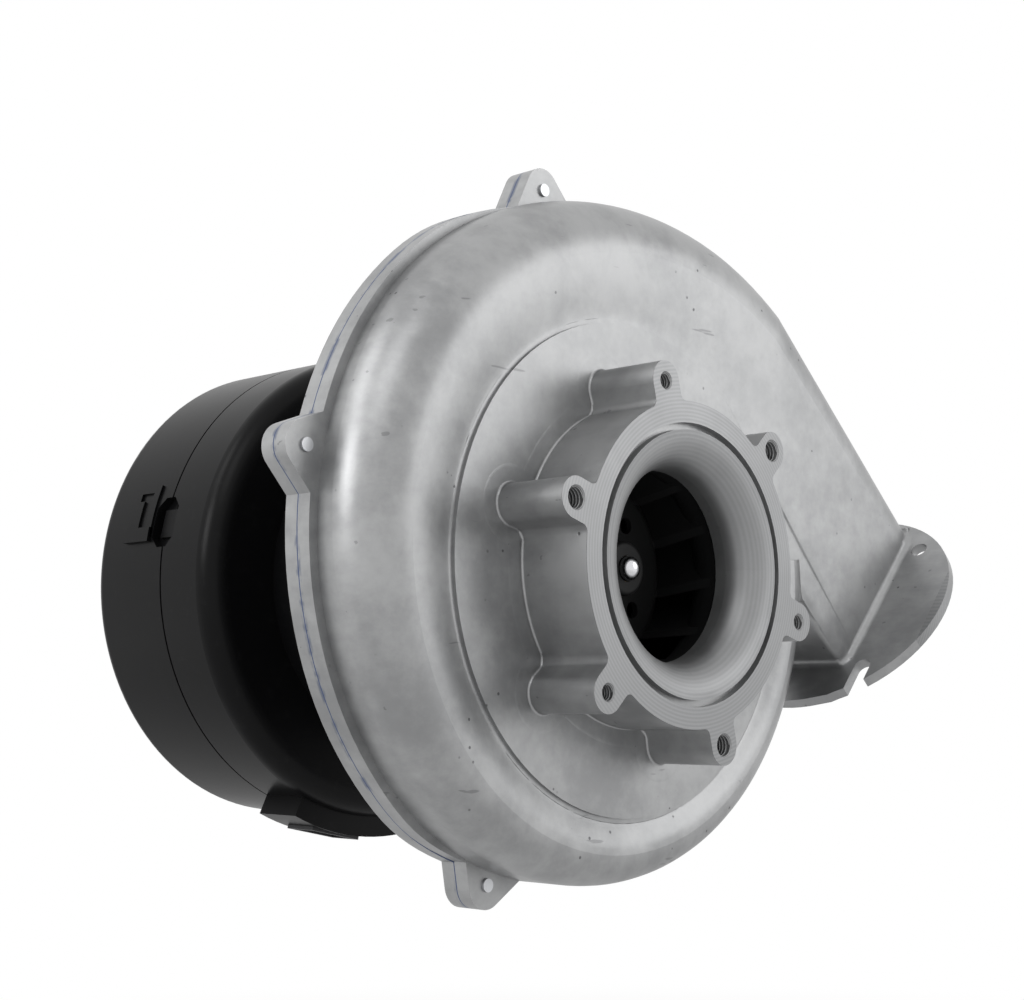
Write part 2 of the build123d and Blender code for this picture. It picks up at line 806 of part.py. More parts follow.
with BuildPart() as stator_windings:
    for turn in range(tooth_count):
        add(coil.part.rotate(Axis.Y, 360 * turn / tooth_count))
stator_windings.part.label = "stator_windings"
export_step(stator_windings.part, "parts/stator_windings.step")

coil_end = stack_end + insulator + coil_play + coil_build
lead_places = [(-lead_pitch, lead_circle), (0, lead_circle), (lead_pitch, lead_circle)]

with BuildPart() as motor_leads:
    with BuildSketch(across(lead_end)):
        with Locations(*lead_places):
            Circle(lead_radius)
    extrude(amount=lead_end - coil_end)
motor_leads.part.label = "motor_leads"
export_step(motor_leads.part, "parts/motor_leads.step")

with BuildPart() as lead_grommet:
    with BuildSketch(across(drum_front + drum_wall)):
        with Locations((0, lead_circle)):
            SlotOverall(lead_slot[0] - 2 * screw_play, lead_slot[1] - 2 * screw_play)
        with Locations(*lead_places):
            Circle(lead_radius + screw_play, mode=Mode.SUBTRACT)
    extrude(amount=drum_wall + shield_plate)
lead_grommet.part.label = "lead_grommet"
export_step(lead_grommet.part, "parts/lead_grommet.step")

print("rotor")

with BuildPart() as shaft:
    with BuildSketch(Plane.XY):
        with BuildLine():
            dome = EllipticalCenterArc((0, shaft_tip + shaft_dome), shaft_radius, shaft_dome, 270, arc_size=90)
            Polyline(dome @ 1, (shaft_radius, ring_groove[0]), (ring_groove_radius, ring_groove[0]),
                     (ring_groove_radius, ring_groove[1]), (shaft_radius, ring_groove[1]),
                     (shaft_radius, shaft_end - shaft_chamfer), (shaft_radius - shaft_chamfer, shaft_end),
                     (0, shaft_end), dome @ 0)
        make_face()
    revolve(axis=Axis.Y)
shaft.part.label = "shaft"
export_step(shaft.part, "parts/shaft.step")

with BuildPart() as retaining_ring:
    with BuildSketch(across(ring_groove[1] - screw_play)):
        Circle(ring_clip_radius)
        Circle(ring_groove_radius + screw_play, mode=Mode.SUBTRACT)
        with Locations((ring_clip_radius, 0)):
            Rectangle(ring_clip_radius, shaft_radius, mode=Mode.SUBTRACT)
    extrude(amount=ring_groove[1] - ring_groove[0] - 2 * screw_play)
retaining_ring.part.label = "retaining_ring"
export_step(retaining_ring.part, "parts/retaining_ring.step")

with BuildPart() as shaft_spacers:
    with BuildSketch(across(stack_start)):
        Circle(spacer_radius)
        Circle(shaft_radius + fit, mode=Mode.SUBTRACT)
    extrude(amount=stack_start - front_bearing - bearing_width)
    with BuildSketch(across(rear_bearing)):
        Circle(spacer_radius)
        Circle(shaft_radius + fit, mode=Mode.SUBTRACT)
    extrude(amount=rear_bearing - stack_end)
shaft_spacers.part.label = "shaft_spacers"
export_step(shaft_spacers.part, "parts/shaft_spacers.step")

with BuildPart() as rotor_core:
    with BuildSketch(across(stack_end)):
        Circle(rotor_core_radius)
        Circle(shaft_radius + fit, mode=Mode.SUBTRACT)
        with PolarLocations(core_hole_circle, core_hole_count):
            Circle(core_hole, mode=Mode.SUBTRACT)
    extrude(amount=stack_length)
rotor_core.part.label = "rotor_core"
export_step(rotor_core.part, "parts/rotor_core.step")

with BuildPart() as rotor_magnets:
    with BuildSketch(across(stack_end)):
        Circle(magnet_radius)
        Circle(rotor_core_radius + fit, mode=Mode.SUBTRACT)
        with PolarLocations(rotor_core_radius, magnet_count):
            Rectangle(rotor_core_radius, magnet_gap, mode=Mode.SUBTRACT)
    extrude(amount=stack_length)
rotor_magnets.part.label = "rotor_magnets"
export_step(rotor_magnets.part, "parts/rotor_magnets.step")

with BuildPart() as rotor_sleeve:
    with BuildSketch(across(stack_end)):
        Circle(sleeve_radius)
        Circle(magnet_radius + fit, mode=Mode.SUBTRACT)
    extrude(amount=stack_length)
rotor_sleeve.part.label = "rotor_sleeve"
export_step(rotor_sleeve.part, "parts/rotor_sleeve.step")

print("impeller")

bend_reach = shroud_bend[0] - eye_radius

# One blade, cut to the room between hub and shroud, which the wheel repeats about the shaft
with BuildPart() as blade:
    extrude(blade_outline(backplate_depth + backplate / 2), amount=backplate_depth - shroud_front)
    with BuildSketch(Plane.XY):
        with BuildLine():
            edge = EllipticalCenterArc(shroud_bend, bend_reach + blade_play, shroud_bend_height + blade_play, 90,
                                       arc_size=90)
            middle = backplate / 2
            Polyline(edge @ 0, (impeller_radius, shroud_rim + blade_play), (impeller_radius, backplate_depth + middle),
                     (dish_foot, backplate_depth + middle), (dish_radius, dish_depth + middle),
                     (blade_root + middle / 2, dish_depth), (eye_radius - blade_play, blade_front), edge @ 1)
        make_face()
    revolve(axis=Axis.Y, mode=Mode.INTERSECT)

with BuildPart() as impeller_wheel:
    with BuildSketch(Plane.XY):
        bore = bush_radius + fit
        with BuildLine():
            Line((shaft_radius + hub_play, hub_front), (hub_radius - hub_nose, hub_front))
            CenterArc((hub_radius - hub_nose, hub_front + hub_nose), hub_nose, -90, 90)
            Line((hub_radius, hub_front + hub_nose), (hub_radius, dish_depth - hub_flare))
            CenterArc((hub_radius + hub_flare, dish_depth - hub_flare), hub_flare, 180, -90)
            Polyline((hub_radius + hub_flare, dish_depth), (dish_radius, dish_depth), (dish_foot, backplate_depth),
                     (impeller_radius, backplate_depth), (impeller_radius, backplate_depth + backplate),
                     (dish_foot, backplate_depth + backplate), (dish_radius, dish_depth + backplate),
                     (hub_radius + backplate, dish_depth + backplate), (hub_radius + backplate, hub_end),
                     (bore, hub_end), (bore, bush_front), (shaft_radius + hub_play, bush_front),
                     (shaft_radius + hub_play, hub_front))
        make_face()
        fillet(vertices().filter_by(lambda v: dish_radius - 0.1 < v.X < dish_foot + 0.1), dish_rounding)
    revolve(axis=Axis.Y)
    for turn in range(blade_count):
        add(blade.part.rotate(Axis.Y, 360 * turn / blade_count))
    with BuildSketch(across(hub_end)):
        Circle(bore)
    extrude(amount=hub_end - bush_front, mode=Mode.SUBTRACT)
    with BuildSketch(across(dish_depth + backplate)):
        with PolarLocations(dish_hole_circle / 2, dish_hole_count, start_angle=dish_hole_angle):
            Circle(dish_hole)
    extrude(amount=backplate, mode=Mode.SUBTRACT)
impeller_wheel.part.label = "impeller_wheel"
export_step(impeller_wheel.part, "parts/impeller_wheel.step")

with BuildPart() as impeller_shroud:
    with BuildSketch(Plane.XY):
        with BuildLine():
            inner = EllipticalCenterArc(shroud_bend, bend_reach, shroud_bend_height, 90, arc_size=90)
            outer = EllipticalCenterArc(shroud_bend, bend_reach - shroud_wall - shroud_lean,
                                        shroud_bend_height - shroud_wall, 90, arc_size=90)
            Polyline(inner @ 1, (inner @ 1).X * Vector(1, 0) + Vector(0, shroud_front), (outer @ 1).X * Vector(1, 0)
                     + Vector(0, shroud_front), outer @ 1)
            Polyline(outer @ 0, (impeller_radius, shroud_rim - shroud_wall), (impeller_radius, shroud_rim), inner @ 0)
        make_face()
    revolve(axis=Axis.Y)
impeller_shroud.part.label = "impeller_shroud"
export_step(impeller_shroud.part, "parts/impeller_shroud.step")

with BuildPart() as impeller_bush:
    with BuildSketch(across(bush_end)):
        Circle(hub_radius - hub_step)
    extrude(amount=bush_end - hub_end)
    with BuildSketch(across(hub_end)):
        Circle(bush_radius)
    extrude(amount=hub_end - bush_front)
    with BuildSketch(across(bush_end)):
        Circle(shaft_radius + fit)
    extrude(amount=bush_end - bush_front, mode=Mode.SUBTRACT)
impeller_bush.part.label = "impeller_bush"
export_step(impeller_bush.part, "parts/impeller_bush.step")

print("electronics")

socket_cuts = ((power_socket_angle, power_socket_size), (signal_socket_angle, signal_socket_size))

with BuildPart() as electronics_tray:
    with BuildSketch(Plane.XY):
        skin = drum_radius - drum_wall
        bend = drum_radius - drum_front_rounding
        with BuildLine():
            Line((0, drum_front), (bend, drum_front))
            CenterArc((bend, drum_front + drum_front_rounding), drum_front_rounding, -90, 90)
            Polyline((drum_radius, drum_front + drum_front_rounding), (drum_radius, tray_end), (rim_radius, tray_end),
                     (rim_radius, tray_end - rim_height), (skin, tray_end - rim_height),
                     (skin, drum_front + drum_front_rounding))
            CenterArc((bend, drum_front + drum_front_rounding), drum_front_rounding - drum_wall, 0, -90)
            Polyline((bend, drum_front + drum_wall), (0, drum_front + drum_wall), (0, drum_front))
        make_face()
    revolve(axis=Axis.Y)
    with BuildSketch(across(tray_end)):
        with BuildLine():
            CenterArc((0, 0), pad_reach, pad_from, pad_to - pad_from)
            Line(polar(pad_reach, pad_to), polar(pad_inner, pad_to))
            CenterArc((0, 0), pad_inner, pad_to, pad_from - pad_to)
            Line(polar(pad_inner, pad_from), polar(pad_reach, pad_from))
        make_face()
    extrude(amount=tray_end - pad_front)
    with BuildSketch(across(board_front)):
        with PolarLocations(stand_off_circle / 2, stand_off_count, start_angle=stand_off_angle):
            Circle(stand_off_radius)
    extrude(amount=board_front - drum_front - drum_wall)
    with BuildSketch(across(board_front)):
        with PolarLocations(stand_off_circle / 2, stand_off_count, start_angle=stand_off_angle):
            Circle(board_screw + fit)
    extrude(amount=board_front - board_screw_tip + 1.0, mode=Mode.SUBTRACT)
    with BuildSketch(across(drum_front + drum_wall)):
        with PolarLocations(tray_screw_circle / 2, tray_screw_count, start_angle=tray_screw_angle):
            Circle(tray_screw_radius + screw_play)
        with Locations((0, lead_circle)):
            SlotOverall(*lead_slot)
    extrude(amount=drum_wall, mode=Mode.SUBTRACT)
    for angle, size in socket_cuts:
        with BuildSketch(facing(angle, board_radius, socket_middle)):
            Rectangle(size[0] + 2 * socket_play, size[1] + 2 * socket_play)
        extrude(amount=drum_front_rounding * 2, mode=Mode.SUBTRACT)
    for angle in latch_angles:
        with BuildSketch(facing(angle, latch_floor, drum_seam + latch_shift)):
            Rectangle(*latch_size)
            chamfer(vertices(), latch_chamfer)
        extrude(amount=drum_wall * 2, mode=Mode.SUBTRACT)
electronics_tray.part.label = "electronics_tray"
export_step(electronics_tray.part, "parts/electronics_tray.step")

with BuildPart() as electronics_cover:
    with BuildSketch(Plane.XY):
        bend = drum_radius - drum_rear_rounding
        turn_depth = drum_end - drum_rear_rounding
        with BuildLine():
            Polyline((skin, turn_depth), (skin, cover_start + rim_height), (rim_radius, cover_start + rim_height),
                     (rim_radius, cover_start), (drum_radius, cover_start), (drum_radius, turn_depth))
            CenterArc((bend, turn_depth), drum_rear_rounding, 0, 90)
            Polyline((bend, drum_end), (0, drum_end), (0, drum_end - drum_wall), (bend, drum_end - drum_wall))
            CenterArc((bend, turn_depth), drum_rear_rounding - drum_wall, 90, -90)
        make_face()
    revolve(axis=Axis.Y)
    for angle in latch_angles:
        with BuildSketch(facing(angle, latch_floor, drum_seam + latch_shift)):
            Rectangle(*latch_size)
            chamfer(vertices(), latch_chamfer)
        extrude(amount=drum_wall * 2, mode=Mode.SUBTRACT)
electronics_cover.part.label = "electronics_cover"
export_step(electronics_cover.part, "parts/electronics_cover.step")

with BuildPart() as cover_seal:
    with BuildSketch(across(cover_start)):
        Circle(seal_outer)
        Circle(seal_inner, mode=Mode.SUBTRACT)
    extrude(amount=seal_height)
cover_seal.part.label = "cover_seal"
export_step(cover_seal.part, "parts/cover_seal.step")

with BuildPart() as cover_clips:
    for angle in latch_angles:
        with BuildSketch(facing(angle, latch_floor, drum_seam + latch_shift)):
            Rectangle(*clip_size)
        extrude(amount=clip_thickness)
cover_clips.part.label = "cover_clips"
export_step(cover_clips.part, "parts/cover_clips.step")

with BuildPart() as tray_screws:
    with BuildSketch(across(drum_front + drum_wall + tray_head)):
        with PolarLocations(tray_screw_circle / 2, tray_screw_count, start_angle=tray_screw_angle):
            Circle(tray_head_radius)
    extrude(amount=tray_head)
    with BuildSketch(across(drum_front + drum_wall)):
        with PolarLocations(tray_screw_circle / 2, tray_screw_count, start_angle=tray_screw_angle):
            Circle(tray_screw_radius)
    extrude(amount=drum_front + drum_wall - tray_screw_tip)
    with BuildSketch(across(drum_front + drum_wall + tray_head)):
        with PolarLocations(tray_screw_circle / 2, tray_screw_count, start_angle=tray_screw_angle):
            RegularPolygon(drive_radius, 6)
    extrude(amount=drive_depth, mode=Mode.SUBTRACT)
tray_screws.part.label = "tray_screws"
export_step(tray_screws.part, "parts/tray_screws.step")

with BuildPart() as circuit_board:
    with BuildSketch(across(board_back)):
        Circle(board_radius)
        with PolarLocations(stand_off_circle / 2, stand_off_count, start_angle=stand_off_angle):
            Circle(board_screw + mount_play, mode=Mode.SUBTRACT)
        with Locations(*lead_places):
            Circle(lead_radius + screw_play, mode=Mode.SUBTRACT)
    extrude(amount=board_thickness)
circuit_board.part.label = "circuit_board"
export_step(circuit_board.part, "parts/circuit_board.step")

with BuildPart() as board_screws:
    with BuildSketch(across(board_back + board_head)):
        with PolarLocations(stand_off_circle / 2, stand_off_count, start_angle=stand_off_angle):
            Circle(board_head_radius)
    extrude(amount=board_head)
    with BuildSketch(across(board_back)):
        with PolarLocations(stand_off_circle / 2, stand_off_count, start_angle=stand_off_angle):
            Circle(board_screw)
    extrude(amount=board_back - board_screw_tip)
board_screws.part.label = "board_screws"
export_step(board_screws.part, "parts/board_screws.step")

with BuildPart() as capacitors:
    with BuildSketch(across(board_back + capacitor_height)):
        with Locations(*capacitor_places):
            Circle(capacitor_radius)
    extrude(amount=capacitor_height)
capacitors.part.label = "capacitors"
export_step(capacitors.part, "parts/capacitors.step")

with BuildPart() as choke_core:
    with BuildSketch(across(board_back + wire_build + choke_height)):
        with Locations(choke_place):
            Circle(choke_radii[1])
            Circle(choke_radii[0], mode=Mode.SUBTRACT)
    extrude(amount=choke_height)
choke_core.part.label = "choke_core"
export_step(choke_core.part, "parts/choke_core.step")

with BuildPart() as choke_winding:
    with BuildSketch(across(board_back + 2 * wire_build + choke_height)):
        with Locations(choke_place):
            Circle(choke_radii[1] + wire_build)
            Circle(choke_radii[0] - wire_build, mode=Mode.SUBTRACT)
            Rectangle(4 * choke_radii[1], choke_radii[0], mode=Mode.SUBTRACT)
    extrude(amount=choke_height + 2 * wire_build)
    with BuildSketch(across(board_back + wire_build + choke_height + coil_play)):
        with Locations(choke_place):
            Circle(choke_radii[1] + coil_play)
            Circle(choke_radii[0] - coil_play, mode=Mode.SUBTRACT)
    extrude(amount=choke_height + 2 * coil_play, mode=Mode.SUBTRACT)
choke_winding.part.label = "choke_winding"
export_step(choke_winding.part, "parts/choke_winding.step")

with BuildPart() as power_module:
    with BuildSketch(across(board_back + module_size[2])):
        with Locations(module_place):
            Rectangle(*module_size[:2])
    extrude(amount=module_size[2])
power_module.part.label = "power_module"
export_step(power_module.part, "parts/power_module.step")

with BuildPart() as heat_sink:
    with BuildSketch(across(board_back + module_size[2] + sink_base)):
        with Locations(module_place):
            Rectangle(*sink_size[:2])
    extrude(amount=sink_base)
    with BuildSketch(across(board_back + module_size[2] + sink_size[2])):
        with Locations(module_place):
            with GridLocations((sink_size[0] - fin_width) / (fin_count - 1), 0, fin_count, 1):
                Rectangle(fin_width, sink_size[1])
    extrude(amount=sink_size[2] - sink_base)
heat_sink.part.label = "heat_sink"
export_step(heat_sink.part, "parts/heat_sink.step")

with BuildPart() as motor_controller:
    with BuildSketch(across(board_back + chip_size[2])):
        with Locations(chip_place):
            Rectangle(*chip_size[:2])
    extrude(amount=chip_size[2])
motor_controller.part.label = "motor_controller"
export_step(motor_controller.part, "parts/motor_controller.step")

sockets = (("power_socket", power_socket_angle, power_socket_size, power_pins),
           ("signal_socket", signal_socket_angle, signal_socket_size, signal_pins))

for name, angle, size, pins in sockets:
    with BuildPart() as socket:
        with BuildSketch(facing(angle, socket_inner, socket_middle)):
            Rectangle(*size)
        extrude(amount=socket_outer - socket_inner)
        with BuildSketch(facing(angle, socket_floor, socket_middle)):
            Rectangle(size[0] - 2 * socket_wall, size[1] - 2 * socket_wall)
        extrude(amount=socket_outer - socket_floor, mode=Mode.SUBTRACT)
        with BuildSketch(facing(angle, socket_inner, socket_middle)):
            with Locations(*[(0, p) for p in pins]):
                Rectangle(pin_size + 2 * socket_play, pin_size + 2 * socket_play)
        extrude(amount=socket_floor - socket_inner, mode=Mode.SUBTRACT)
    socket.part.label = name
    export_step(socket.part, "parts/" + name + ".step")

with BuildPart() as socket_pins:
    for name, angle, size, pins in sockets:
        with BuildSketch(facing(angle, pin_inner, socket_middle)):
            with Locations(*[(0, p) for p in pins]):
                Rectangle(pin_size, pin_size)
        extrude(amount=pin_outer - pin_inner)
        with BuildSketch(facing(angle, pin_inner, (board_back + socket_middle) / 2)):
            with Locations(*[(0, p) for p in pins]):
                Rectangle(socket_middle - board_back, pin_size)
        extrude(amount=pin_size)
socket_pins.part.label = "socket_pins"
export_step(socket_pins.part, "parts/socket_pins.step")
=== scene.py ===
import bpy
import bmesh
import json
import math
from mathutils import Matrix, Vector, noise


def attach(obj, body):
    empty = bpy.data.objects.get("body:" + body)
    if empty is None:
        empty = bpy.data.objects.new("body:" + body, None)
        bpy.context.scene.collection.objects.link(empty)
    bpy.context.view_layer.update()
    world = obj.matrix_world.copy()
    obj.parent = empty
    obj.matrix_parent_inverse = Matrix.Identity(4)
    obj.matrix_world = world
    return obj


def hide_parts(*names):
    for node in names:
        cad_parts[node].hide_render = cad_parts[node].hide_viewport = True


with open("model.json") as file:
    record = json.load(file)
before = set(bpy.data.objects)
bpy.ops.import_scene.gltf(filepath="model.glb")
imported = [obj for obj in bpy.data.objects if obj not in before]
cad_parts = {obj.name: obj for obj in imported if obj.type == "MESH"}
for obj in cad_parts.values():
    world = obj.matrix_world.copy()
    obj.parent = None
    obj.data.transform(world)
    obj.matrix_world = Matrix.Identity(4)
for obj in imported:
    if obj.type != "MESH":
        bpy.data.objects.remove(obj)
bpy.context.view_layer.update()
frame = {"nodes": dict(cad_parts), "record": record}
nodes = frame["nodes"]
mm = 0.001
near = 1e-6  # Vertices closer than this are one
print("frame loaded:", len(nodes), "nodes")


# A socket that can be written in sums: each operator adds its Math node to the finish it belongs to
class Wire:
    def __init__(self, finish, socket):
        self.finish = finish
        self.socket = socket

    def maths(self, operation, *values):
        return self.finish.maths(operation, *values)

    def __add__(self, other):
        return self.maths("ADD", self, other)

    def __radd__(self, other):
        return self.maths("ADD", other, self)

    def __sub__(self, other):
        return self.maths("SUBTRACT", self, other)

    def __rsub__(self, other):
        return self.maths("SUBTRACT", other, self)

    def __mul__(self, other):
        return self.maths("MULTIPLY", self, other)

    def __abs__(self):
        return self.maths("ABSOLUTE", self)

    def above(self, level):
        return self.maths("GREATER_THAN", self, level)

    def below(self, level):
        return self.maths("LESS_THAN", self, level)

    def least(self, other):
        return self.maths("MINIMUM", self, other)

    def most(self, other):
        return self.maths("MAXIMUM", self, other)


class Finish:
    def __init__(self, name):
        self.material = bpy.data.materials.new(name)
        self.material.use_nodes = True
        self.tree = self.material.node_tree
        self.tree.nodes.clear()
        self.place = self.node("ShaderNodeTexCoord", output="Object")

    def node(self, kind, settings=None, inputs=None, output=0):
        made = self.tree.nodes.new(kind)
        for key, value in (settings or {}).items():
            setattr(made, key, value)
        for key, value in (inputs or {}).items():
            if isinstance(value, Wire):
                self.tree.links.new(value.socket, made.inputs[key])
            else:
                made.inputs[key].default_value = value
        return Wire(self, made.outputs[output])

    def maths(self, operation, *values):
        return self.node("ShaderNodeMath", {"operation": operation}, dict(enumerate(values)))

    def cloud(self, size, detail, rough, stretch=(1, 1, 1), shift=(0, 0, 0)):
        # Noise whose blotches are about size millimetres across
        where = self.node("ShaderNodeMapping", {},
                          {"Vector": self.place, "Location": shift, "Scale": stretch})
        return self.node("ShaderNodeTexNoise", {},
                         {"Vector": where, "Scale": 1 / (size * mm), "Detail": detail, "Roughness": rough})

    def pits(self, size):
        return self.node("ShaderNodeTexVoronoi", {}, {"Vector": self.place, "Scale": 1 / (size * mm)})

    def axes(self):
        apart = self.tree.nodes.new("ShaderNodeSeparateXYZ")
        self.tree.links.new(self.place.socket, apart.inputs[0])
        return [Wire(self, apart.outputs[i]) for i in range(3)]

    def step(self, value, low, high, start=0.0, end=1.0):
        levels = {"Value": value, "From Min": low, "From Max": high, "To Min": start, "To Max": end}
        return self.node("ShaderNodeMapRange", {"interpolation_type": "SMOOTHSTEP"}, levels)

    def blend(self, factor, first, second):
        made = self.tree.nodes.new("ShaderNodeMix")
        made.data_type = "RGBA"
        for socket, value in ((made.inputs[0], factor), (made.inputs[6], first), (made.inputs[7], second)):
            if isinstance(value, Wire):
                self.tree.links.new(value.socket, socket)
            else:
                socket.default_value = value if socket == made.inputs[0] else (*value, 1)
        return Wire(self, made.outputs[2])

    def bump(self, height, distance, strength):
        return self.node("ShaderNodeBump", {},
                         {"Height": height, "Distance": distance * mm, "Strength": strength})

    def fromAxis(self):
        x, y, z = self.axes()
        return self.maths("SQRT", x * x + z * z)

    def done(self, **sockets):
        inputs = {key.replace("_", " "): value for key, value in sockets.items()}
        surface = self.node("ShaderNodeBsdfPrincipled", {}, inputs)
        end = self.tree.nodes.new("ShaderNodeOutputMaterial")
        self.tree.links.new(surface.socket, end.inputs["Surface"])
        return self.material


print("finishes")

# Where the casing was machined: inlet ring, lug tops, bell mouth and outlet flange. Its seam's depth
machined = {"ringDepth": 0.25 * mm, "bellRadius": 42.6 * mm, "bellDepth": 15.6 * mm, "outletAngle": -42.7,
            "outletFace": 113.9 * mm, "seam": 53.2 * mm, "lathe": 5200.0}
castLook = {"light": (0.4, 0.403, 0.406), "dark": (0.28, 0.283, 0.287), "ring": (0.23, 0.233, 0.237),
            "pit": (0.07, 0.07, 0.074), "sealant": (0.05, 0.075, 0.15),
            "rough": 0.32, "metal": 0.82, "relief": 0.12}


def castMetal():
    # Cloudy cast skin with small pits and short scratches, turned faces, and smears of sealant by the seam
    f = Finish("castMetal")
    x, y, z = f.axes()
    flow = math.radians(machined["outletAngle"])
    along = x * math.cos(flow) + z * math.sin(flow)
    ring = y.below(machined["ringDepth"]).most(along.above(machined["outletFace"]))
    radius = f.fromAxis()
    bell = radius.below(machined["bellRadius"]) * y.below(machined["bellDepth"])
    blotch = f.cloud(9, 5, 0.6)
    broad = f.cloud(42, 3, 0.5, shift=(3, 1, 2))
    flowMarks = f.cloud(3.2, 4, 0.65, stretch=(1, 0.35, 1))
    grain = f.cloud(0.7, 2, 0.6)
    pitted = f.step(f.cloud(16, 2, 0.5, shift=(9, 4, 1)), 0.56, 0.66)
    speck = f.step(f.pits(5.4), 0.06, 0.12, 1.0, 0.0) * pitted
    scratch = f.step(f.cloud(5, 2, 0.5, stretch=(0.18, 1, 1.6), shift=(2, 7, 3)), 0.72, 0.74)
    mottle = f.step(blotch * 0.3 + broad * 0.55 + flowMarks * 0.15, 0.36, 0.64)
    skin = f.blend(mottle, castLook["dark"], castLook["light"])
    skin = f.blend((speck + scratch * 0.35).least(0.8), skin, castLook["pit"])
    turned = f.maths("SINE", radius * machined["lathe"]) * 0.5 + 0.5
    face = f.blend(turned * 0.25 + grain * 0.2, castLook["ring"], castLook["light"])
    skin = f.blend(ring.most(bell * 0.7), skin, face)
    nearSeam = f.step(abs(y - machined["seam"]), 0.5 * mm, 1.6 * mm, 1.0, 0.0)
    smear = nearSeam * f.step(f.cloud(11, 3, 0.6, shift=(5, 5, 1)), 0.5, 0.62)
    skin = f.blend(smear * 0.6, skin, castLook["sealant"])
    rough = castLook["rough"] + mottle * 0.08 + grain * 0.08 + bell * 0.08
    height = blotch * 0.3 + flowMarks * 0.15 + grain * 0.15 - speck * 0.9 - scratch * 0.3
    fine = f.bump(height * (1 - ring), castLook["relief"], 0.4)
    return f.done(Base_Color=skin, Metallic=castLook["metal"], Roughness=rough, Normal=fine)


def steel(name, colour, rough, size=3.0):
    f = Finish(name)
    tone = f.cloud(size, 3, 0.6)
    lines = f.cloud(size * 0.4, 2, 0.6, stretch=(1, 0.1, 1))
    shade = f.blend(tone, [c * 0.82 for c in colour], colour)
    return f.done(Base_Color=shade, Metallic=1.0, Roughness=rough + tone * 0.12 + lines * 0.06,
                  Normal=f.bump(lines, 0.02, 0.3))


def moulded(name, colour, rough, grainSize=0.45, grainDepth=0.05, sheen=0.5):
    # Moulded plastic or satin paint: fine grain, a little dust, and cloudier gloss where hands have been
    f = Finish(name)
    grain = f.cloud(grainSize, 2, 0.55)
    broad = f.cloud(34, 4, 0.6)
    dust = f.step(f.cloud(6, 5, 0.7, shift=(1, 8, 3)), 0.55, 0.8)
    shade = f.blend(broad, [c * 0.8 for c in colour], [c * 1.15 for c in colour])
    shade = f.blend(dust * 0.015, shade, (0.3, 0.3, 0.3))
    return f.done(Base_Color=shade, Roughness=rough + broad * 0.05 + dust * 0.04,
                  Specular_IOR_Level=sheen, Normal=f.bump(grain, grainDepth, 0.35))


def rubber(name, colour, rough):
    f = Finish(name)
    body = f.cloud(2.4, 4, 0.6)
    shade = f.blend(body, [c * 0.75 for c in colour], [c * 1.2 for c in colour])
    return f.done(Base_Color=shade, Roughness=rough + body * 0.12, Normal=f.bump(body, 0.08, 0.5))


# Radians of the wave per metre: turns of wire 0.8 mm apart, and electrical sheets of half a millimetre
layers = {"wire": 7800.0, "sheet": 12566.0}


def copperWire():
    # Turns of enamelled wire lie along each coil
    f = Finish("copperWire")
    turns = f.maths("SINE", f.fromAxis() * layers["wire"]) * 0.5 + 0.5
    shade = f.blend(turns, (0.28, 0.09, 0.03), (0.7, 0.3, 0.12))
    rough = 0.28 + turns * 0.1
    return f.done(Base_Color=shade, Metallic=0.9, Roughness=rough, Normal=f.bump(turns, 0.25, 0.8))


def lamination():
    f = Finish("lamination")
    x, y, z = f.axes()
    sheets = f.maths("SINE", y * layers["sheet"]) * 0.5 + 0.5
    shade = f.blend(sheets, (0.16, 0.16, 0.17), (0.42, 0.42, 0.44))
    rough = 0.42 + sheets * 0.1
    return f.done(Base_Color=shade, Metallic=0.85, Roughness=rough, Normal=f.bump(sheets, 0.1, 0.6))


def lacqueredBoard():
    f = Finish("lacqueredBoard")
    tracks = f.step(f.pits(4.0), 0.3, 0.36)
    shade = f.blend(tracks, (0.02, 0.14, 0.06), (0.03, 0.22, 0.1))
    return f.done(Base_Color=shade, Roughness=0.3 + tracks * 0.05, Normal=f.bump(tracks, 0.04, 0.5))


